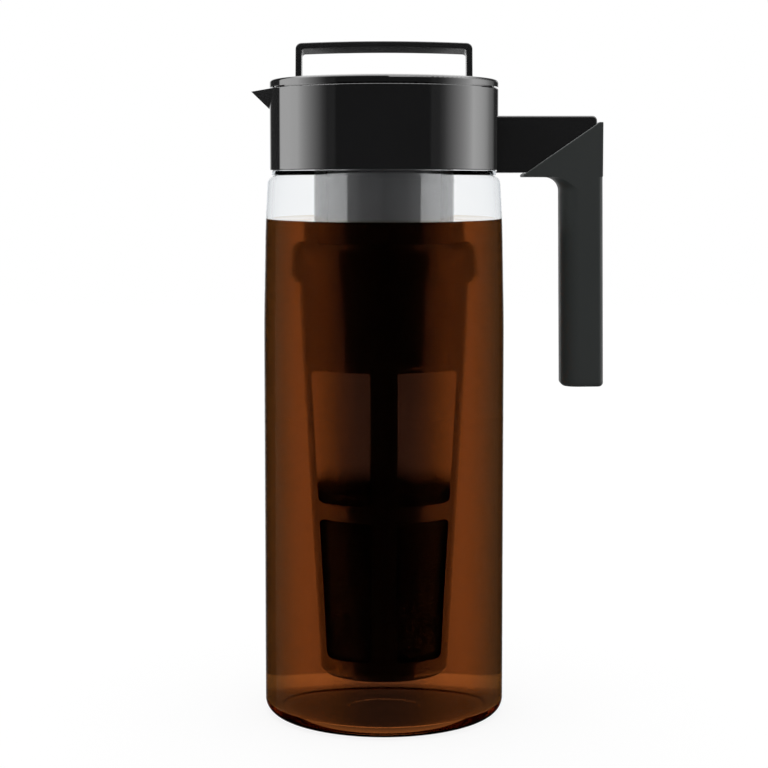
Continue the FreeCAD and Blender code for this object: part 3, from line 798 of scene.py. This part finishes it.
@dataclass
class BrewFilter:
    """Filter with its mesh panels, and the wet grounds that lie in it."""

    floor: float = 2.5 * MM
    shell_bottom_radius: float = 25.1 * MM
    shell_slope: float = 0.05007
    shell_wall: float = 2.0 * MM
    wall_gap: float = 0.2 * MM
    fill_height: float = 90.0 * MM
    crown: float = 3.0 * MM
    lump_height: float = 1.6 * MM
    lump_seed: int = 7
    lump_waves: int = 7
    lump_speeds: Span = (3, 11)
    edge_power: int = 6
    bottom_rows: int = 7
    side_rows: int = 40
    top_rows: int = 35
    sides: int = 144
    panels: tuple[str, ...] = tuple(
        f"mesh_{level}_{number}" for level in ("upper", "lower") for number in range(1, 5)
    )

    def dress(self, finishes: Finishes) -> None:
        """Gives the filter's pieces their finishes."""
        finishes.dress("filter_gasket", Palette.SEAL)
        finishes.dress("filter_ring", Palette.FILTER)
        finishes.dress("filter_frame", Palette.FILTER)
        for panel in self.panels:
            finishes.dress(panel, Palette.MESH)

    def _top_lumps(self, spread: np.ndarray) -> np.ndarray:
        """Unevenness of the grounds' top: a sum of waves with seeded directions.

        With x and y the place on the top as shares of its radius, each wave is
        sin(speed * (x cos heading + y sin heading) + phase); the sum of all is divided by half
        of their number.

        Args:
            spread: Distance from the axis per row, as a share of the radius.

        Returns:
            Heights from about -1 to 1 on the grid of rows and sides.
        """
        seeds = np.random.default_rng(self.lump_seed)
        angles = angles_round(self.sides)
        across = spread[:, None] * np.cos(angles)[None, :]
        away = spread[:, None] * np.sin(angles)[None, :]
        heading = seeds.uniform(0, 2 * math.pi, self.lump_waves)[:, None, None]
        speed = seeds.uniform(*self.lump_speeds, self.lump_waves)[:, None, None]
        phase = seeds.uniform(0, 2 * math.pi, self.lump_waves)[:, None, None]
        waves = np.sin(speed * (across * np.cos(heading) + away * np.sin(heading)) + phase)
        return waves.sum(0) / (self.lump_waves / 2)

    def pour_grounds(self, finishes: Finishes) -> bpy.types.Object:
        """Makes the bed of wet grounds.

        The side follows the shell's inner face: its radius grows by shell_slope times the way
        up. The top rises by crown * (1 - s ** 2) above the side's end, with s the distance from
        the axis as a share of the radius. The lumps have their full height on the top and fade
        down the side with the way up to the power edge_power.

        Args:
            finishes: Source of the material.

        Returns:
            The bed as a piece that moves with the filter.
        """
        low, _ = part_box("filter_frame")
        bottom = low.z + self.floor + self.wall_gap
        inner = self.shell_bottom_radius - self.shell_wall - self.wall_gap
        side_share = np.linspace(0, 1, self.side_rows)
        side_radii = inner + self.shell_slope * self.fill_height * side_share
        side_heights = bottom + self.fill_height * side_share
        top_share = np.linspace(1, 0, self.top_rows + 1)[1:]
        bottom_radii = np.linspace(0, side_radii[0], self.bottom_rows + 1)[:-1]
        radii = np.concatenate([bottom_radii, side_radii, side_radii[-1] * top_share])
        top_heights = side_heights[-1] + self.crown * (1 - top_share ** 2)
        heights = np.concatenate([np.full(self.bottom_rows, bottom), side_heights, top_heights])
        at_bottom = np.zeros(self.bottom_rows)
        weight = np.concatenate([at_bottom, side_share ** self.edge_power, np.ones(self.top_rows)])
        spread = np.concatenate([at_bottom, np.ones(self.side_rows), top_share])
        lumps = self._top_lumps(spread) * self.lump_height * weight[:, None]
        points, faces = revolved(radii, heights[:, None] + lumps, self.sides)
        piece = mesh_piece("wet_grounds", points, faces)
        piece.data.materials.append(finishes.material(Palette.GROUNDS))
        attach(piece, "filter")
        return piece


@dataclass
class Coffee:
    """Brewed coffee that fills the jar up to its liquid line.

    Seen from outside, coffee fills a clear jar's wall and foot as well, because the plastic
    bends the light. The surface therefore lies within the plastic, a skin below the outside.
    """

    level: float = 226.6 * MM
    skin: float = 0.25 * MM
    corner: float = 6.0 * MM
    straight_height: float = 180.0 * MM
    drawn_in_height: float = 225.0 * MM
    drawn_in: float = 0.9 * MM
    wall_end: float = 0.2 * MM
    back_rise: float = 2.4 * MM
    front_rise: float = 0.05 * MM
    rise_reach: float = 12.0 * MM
    tube_rise: float = 0.5 * MM
    tube_rise_reach: float = 2.0 * MM
    tube_outer: float = 32.2 * MM
    flat_rows: int = 15
    corner_rows: int = 16
    wall_rows: int = 89
    top_rows: int = 160
    sides: int = 192
    sharp_degrees: float = 50
    top_upward: float = 0.5
    base_upward: float = -0.05

    def _wall_radius(self, heights: np.ndarray) -> np.ndarray:
        """Radius of the coffee's side: the jar's outer face less the skin.

        Above straight_height it also loses drawn_in times the way up from there, as a share of
        the way to drawn_in_height.
        """
        _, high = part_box("jar_body")
        share = np.clip(
            (heights - self.straight_height) / (self.drawn_in_height - self.straight_height), 0, None
        )
        return high.x - self.skin - self.drawn_in * share

    def _bottom(self, wall: float) -> np.ndarray:
        """Rows (radius, height) of the underside: a flat and the rounded outer corner.

        With c the corner's radius less the skin and t from -90 to 0 degrees, the corner is
        (wall - c + c cos t, skin + c (1 + sin t)).
        """
        corner = self.corner - self.skin
        flat = np.linspace(0, wall - corner, self.flat_rows + 1)[:-1]
        turn = np.linspace(-math.pi / 2, 0, self.corner_rows)
        rounding = [wall - corner + corner * np.cos(turn), self.skin + corner * (1 + np.sin(turn))]
        return np.concatenate([
            np.stack([flat, np.full(self.flat_rows, self.skin)], axis=-1),
            np.stack(rounding, axis=-1),
        ])

    def _top_height(self, radii: np.ndarray, edge: float) -> np.ndarray:
        """Height of the top: the level plus an exponential rise at the jar and at the tube.

        The film at the jar's wall stands higher at the back: its rise runs from front_rise to
        back_rise with the sine of the angle round the axis.

        Args:
            radii: Distances from the axis.
            edge: Radius at which the top meets the jar.

        Returns:
            Heights on the grid of radii and sides.
        """
        back = 0.5 + 0.5 * np.sin(angles_round(self.sides))
        rise = self.front_rise + (self.back_rise - self.front_rise) * back
        at_jar = rise[None, :] * np.exp(-(edge - radii) / self.rise_reach)[:, None]
        at_tube = self.tube_rise * np.exp(-np.abs(radii - self.tube_outer) / self.tube_rise_reach)
        return self.level + at_jar + at_tube[:, None]

    def _dress(self, piece: bpy.types.Object, finishes: Finishes) -> None:
        """Gives the side, the top and the underside their finishes, by the faces' directions."""
        for finish in (Palette.COFFEE, Palette.COFFEE_TOP, Palette.COFFEE_BASE):
            piece.data.materials.append(finishes.material(finish))
        side, top, base = range(3)
        normals = np.empty(3 * len(piece.data.polygons))
        piece.data.polygons.foreach_get("normal", normals)
        upward = normals.reshape(-1, 3)[:, 2]
        finish_of = np.where(upward < self.base_upward, base, side)
        finish_of = np.where(upward > self.top_upward, top, finish_of).astype(np.int32)
        piece.data.polygons.foreach_set("material_index", finish_of)

    def pour(self, finishes: Finishes) -> bpy.types.Object:
        """Makes the coffee as one closed surface of revolution.

        Args:
            finishes: Source of the materials.

        Returns:
            The coffee as a piece that moves with the jar.
        """
        wall = float(self._wall_radius(np.array([self.corner]))[0])
        bottom = self._bottom(wall)
        wall_heights = np.linspace(self.corner, self.level - self.wall_end, self.wall_rows + 1)[1:]
        wall_radii = self._wall_radius(wall_heights)
        edge = float(wall_radii[-1])
        top_radii = edge * np.linspace(1, 0, self.top_rows)
        low_rows = np.concatenate([bottom[:, 1], wall_heights])
        grid = [np.repeat(low_rows[:, None], self.sides, axis=1), self._top_height(top_radii, edge)]
        radii = np.concatenate([bottom[:, 0], wall_radii, top_radii])
        points, faces = revolved(radii, np.concatenate(grid), self.sides)
        piece = mesh_piece("brewed_coffee", points, faces)
        piece.data.set_sharp_from_angle(angle=math.radians(self.sharp_degrees))
        self._dress(piece, finishes)
        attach(piece, "jar")
        return piece


@dataclass
class Studio:
    """Pale floor, soft light and the camera at the photograph's viewing angle.

    softboxes and lit_sides are brightnesses by compass angle: pairs of an angle in degrees,
    0 towards the viewer and rising to the viewer's right, and a brightness. The first is what
    the outer faces mirror, the second is what the tube and the filter mirror inside the jar.
    """

    camera_place: tuple[float, float, float] = (0.0, -0.855, 0.2405)
    camera_pitch: float = 4.30
    lens: float = 87.28
    sensor: float = 36.0
    shift_up: float = -0.07
    floor_half: float = 3.0
    floor_gap: float = 0.2 * MM
    floor_albedo: float = 0.88
    floor_spread: float = 0.004
    floor_grain: float = 0.15
    shadow_share: float = 0.16
    shadow_fade: Span = (0.35, 1.1)
    mirror_peak: float = 3.4
    overhead: float = 3.2
    overhead_up: Span = (0.50, 0.75)
    underside: float = 0.034
    underside_up: Span = (-0.45, -0.12)
    softboxes: Bands = (
        (-180, 1.0), (-168, 1.0), (-156, 0.03), (-129, 0.03), (-127, 1.40), (-110, 2.25),
        (-96, 2.75), (-63, 0.32), (-58, 0.10), (-50, 0.09), (-48, 0.0),
        (46, 0.0), (48, 0.09), (56, 0.10), (62, 0.30), (100, 2.75), (131, 0.50),
        (146, 0.03), (160, 0.03), (170, 1.0), (180, 1.0),
    )
    lit_sides: Bands = (
        (-180, 1.0), (-160, 1.0), (-149, 0.85), (-123, 1.8), (-100, 2.9), (-81, 3.3),
        (-63, 3.1), (-61.5, 0.75), (-50, 0.6), (-36, 0.36), (0, 0.2), (36, 0.36), (50, 0.6),
        (61.5, 0.75), (63, 3.1), (81, 3.3), (100, 2.9), (123, 1.8), (149, 0.85), (160, 1.0),
        (180, 1.0),
    )
    lamp_place: tuple[float, float, float] = (0.0, 0.15, 1.3)
    lamp_size: float = 0.9
    lamp_watts: float = 2.2

    def place_camera(self) -> None:
        """Adds the camera and makes it the scene's camera."""
        data = bpy.data.cameras.new("photo_camera")
        data.lens = self.lens
        data.sensor_width = self.sensor
        data.shift_y = self.shift_up
        camera = bpy.data.objects.new("photo_camera", data)
        camera.location = self.camera_place
        camera.rotation_euler = (math.radians(90 - self.camera_pitch), 0, 0)
        bpy.context.scene.collection.objects.link(camera)
        bpy.context.scene.camera = camera

    def hang_lamp(self) -> None:
        """Adds the soft lamp overhead."""
        data = bpy.data.lights.new("top_softbox", "AREA")
        data.shape = "SQUARE"
        data.size = self.lamp_size
        data.energy = self.lamp_watts
        lamp = bpy.data.objects.new("top_softbox", data)
        lamp.location = self.lamp_place
        lamp.visible_transmission = False
        bpy.context.scene.collection.objects.link(lamp)

    def _floor_material(self) -> bpy.types.Material:
        """Floor that is nearly white by itself and takes up only a share of the shadows.

        Where it is seen, shadow_share of it is painted and takes shadows, and the rest glows.
        The painted share fades out with the distance from the axis, so that the floor's far
        part is as white as the surroundings. A ray scattered off another face meets a painted
        floor, and a mirrored ray passes through it to the studio.
        """
        material = bpy.data.materials.new("studio_floor")
        material.use_nodes = True
        graph = Graph(material.node_tree)
        speckle = graph.noise(self.floor_grain)
        pale = graph.shade((self.floor_albedo,) * 3, self.floor_spread, speckle)
        painted = graph.shader("ShaderNodeBsdfDiffuse", {"Color": pale})
        lift = (1 - self.shadow_share * self.floor_albedo) / (1 - self.shadow_share)
        white = graph.shader("ShaderNodeEmission", {"Strength": lift})
        far = graph.from_axis().between(*self.shadow_fade)
        glow = (1 - graph.bounced("Diffuse")) * (1 - self.shadow_share + far * self.shadow_share)
        lit = graph.mix(glow, painted, white)
        gone = graph.shader("ShaderNodeBsdfTransparent")
        graph.show(Surface=graph.mix(graph.bounced("Glossy"), lit, gone))
        return material

    def lay_floor(self) -> None:
        """Adds the floor, a square that lies floor_gap under the jar's foot."""
        half = self.floor_half
        low = -self.floor_gap
        points = np.array([
            [-half, -half, low], [half, -half, low], [half, half, low], [-half, half, low]
        ])
        floor = mesh_piece("studio_floor", points, [[0, 1, 2, 3]])
        floor.data.materials.append(self._floor_material())

    def _share_of_peak(self, brightness: float) -> Colour:
        """Grey that stands for a brightness as a share of the brightest mirrored light."""
        return (brightness / self.mirror_peak,) * 3

    def _bands(self, graph: Graph, compass: Channel, bands: Bands) -> bpy.types.NodeSocket:
        """Brightness by compass angle.

        Args:
            graph: The world's graph.
            compass: Angle from the viewer, 0 at -180 degrees and 1 at 180 degrees.
            bands: Pairs of an angle in degrees and a brightness.

        Returns:
            The brightness as a share of mirror_peak.
        """
        stops = tuple(((angle + 180) / 360, self._share_of_peak(level)) for angle, level in bands)
        return graph.ramp(compass, stops)

    def _mirrored_room(self, graph: Graph) -> bpy.types.NodeSocket:
        """What mirrored rays meet, as a share of mirror_peak.

        The outer faces mirror the softboxes, with a bright lamp overhead and dark underneath.
        A ray that went through the jar's wall before meets lit_sides at every height instead.
        """
        across, away, up = graph.axes(graph.add("ShaderNodeTexCoord").outputs["Generated"])
        compass = across.angle_to(0 - away) / (2 * math.pi) + 0.5
        in_jar = graph.bounced("Transmission")
        outside = self._bands(graph, compass, self.softboxes)
        inside = self._bands(graph, compass, self.lit_sides)
        around = graph.blend(in_jar, outside, inside)
        above = up.between(*self.overhead_up) * (1 - in_jar)
        under = (1 - up.between(*self.underside_up)) * (1 - in_jar)
        room = graph.blend(above, around, opaque(self._share_of_peak(self.overhead)))
        return graph.blend(under, room, opaque(self._share_of_peak(self.underside)))

    def light_world(self) -> None:
        """Surroundings: plain white, but a studio with softboxes for mirrored rays."""
        world = bpy.data.worlds.new("studio")
        world.use_nodes = True
        bpy.context.scene.world = world
        graph = Graph(world.node_tree)
        room = {"Color": self._mirrored_room(graph), "Strength": self.mirror_peak}
        studio = graph.shader("ShaderNodeBackground", room)
        white = graph.shader("ShaderNodeBackground", {"Color": opaque(WHITE), "Strength": 1.0})
        both = graph.mix(graph.bounced("Glossy"), white, studio)
        graph.add("ShaderNodeOutputWorld", None, {"Surface": both})


def main() -> None:
    """Dresses the object piece by piece and sets up the studio."""
    logging.basicConfig(level=logging.INFO, format="%(message)s")
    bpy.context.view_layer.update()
    finishes = Finishes()
    studio = Studio()
    studio.place_camera()
    for part in (Jar(), PouringCollar(), SideHandle(), Lid(), CarryingHandle(), NeckTube()):
        part.dress(finishes)
        LOG.info("finished %s", type(part).__name__)
    brew_filter = BrewFilter()
    brew_filter.dress(finishes)
    grounds = brew_filter.pour_grounds(finishes)
    LOG.info("finished BrewFilter with %s", grounds.name)
    coffee = Coffee().pour(finishes)
    LOG.info("poured %s", coffee.name)
    studio.hang_lamp()
    studio.lay_floor()
    studio.light_world()
    bpy.context.scene.view_settings.view_transform = "Standard"


if __name__ == "__main__":
    main()
